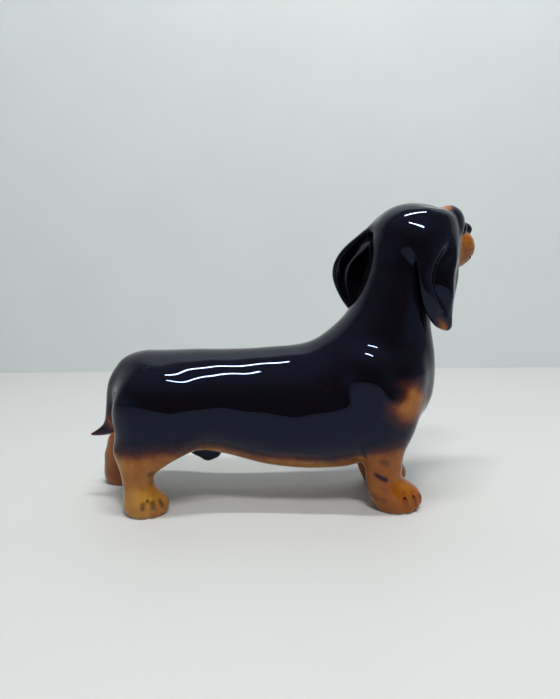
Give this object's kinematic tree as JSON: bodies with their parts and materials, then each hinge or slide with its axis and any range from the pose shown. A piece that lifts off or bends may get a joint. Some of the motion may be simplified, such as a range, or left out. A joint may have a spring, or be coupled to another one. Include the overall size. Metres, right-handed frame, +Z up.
{
  "type": "dog figurine",
  "caption": "Glazed hollow ceramic figurine of a standing black and tan dachshund, head turned to its left, resting on flat paw soles.",
  "frame": {"origin": "bottom centre of the figurine's bounding box, on the surface it stands on", "axes": "+X the way the dog's chest points, +Y the dog's left, +Z up"},
  "size_m": [0.206, 0.0687, 0.1508],
  "materials": {
    "black_glaze": "high gloss",
    "tan_glaze": "high gloss"
  },
  "bodies": {
    "root": {"body_casting": "black_glaze", "head_casting": "black_glaze", "right_ear": "black_glaze", "left_ear": "black_glaze", "tail": "black_glaze", "front_right_leg": "tan_glaze", "front_left_leg": "tan_glaze", "hind_right_leg": "tan_glaze", "hind_left_leg": "tan_glaze"}
  },
  "joints": []
}
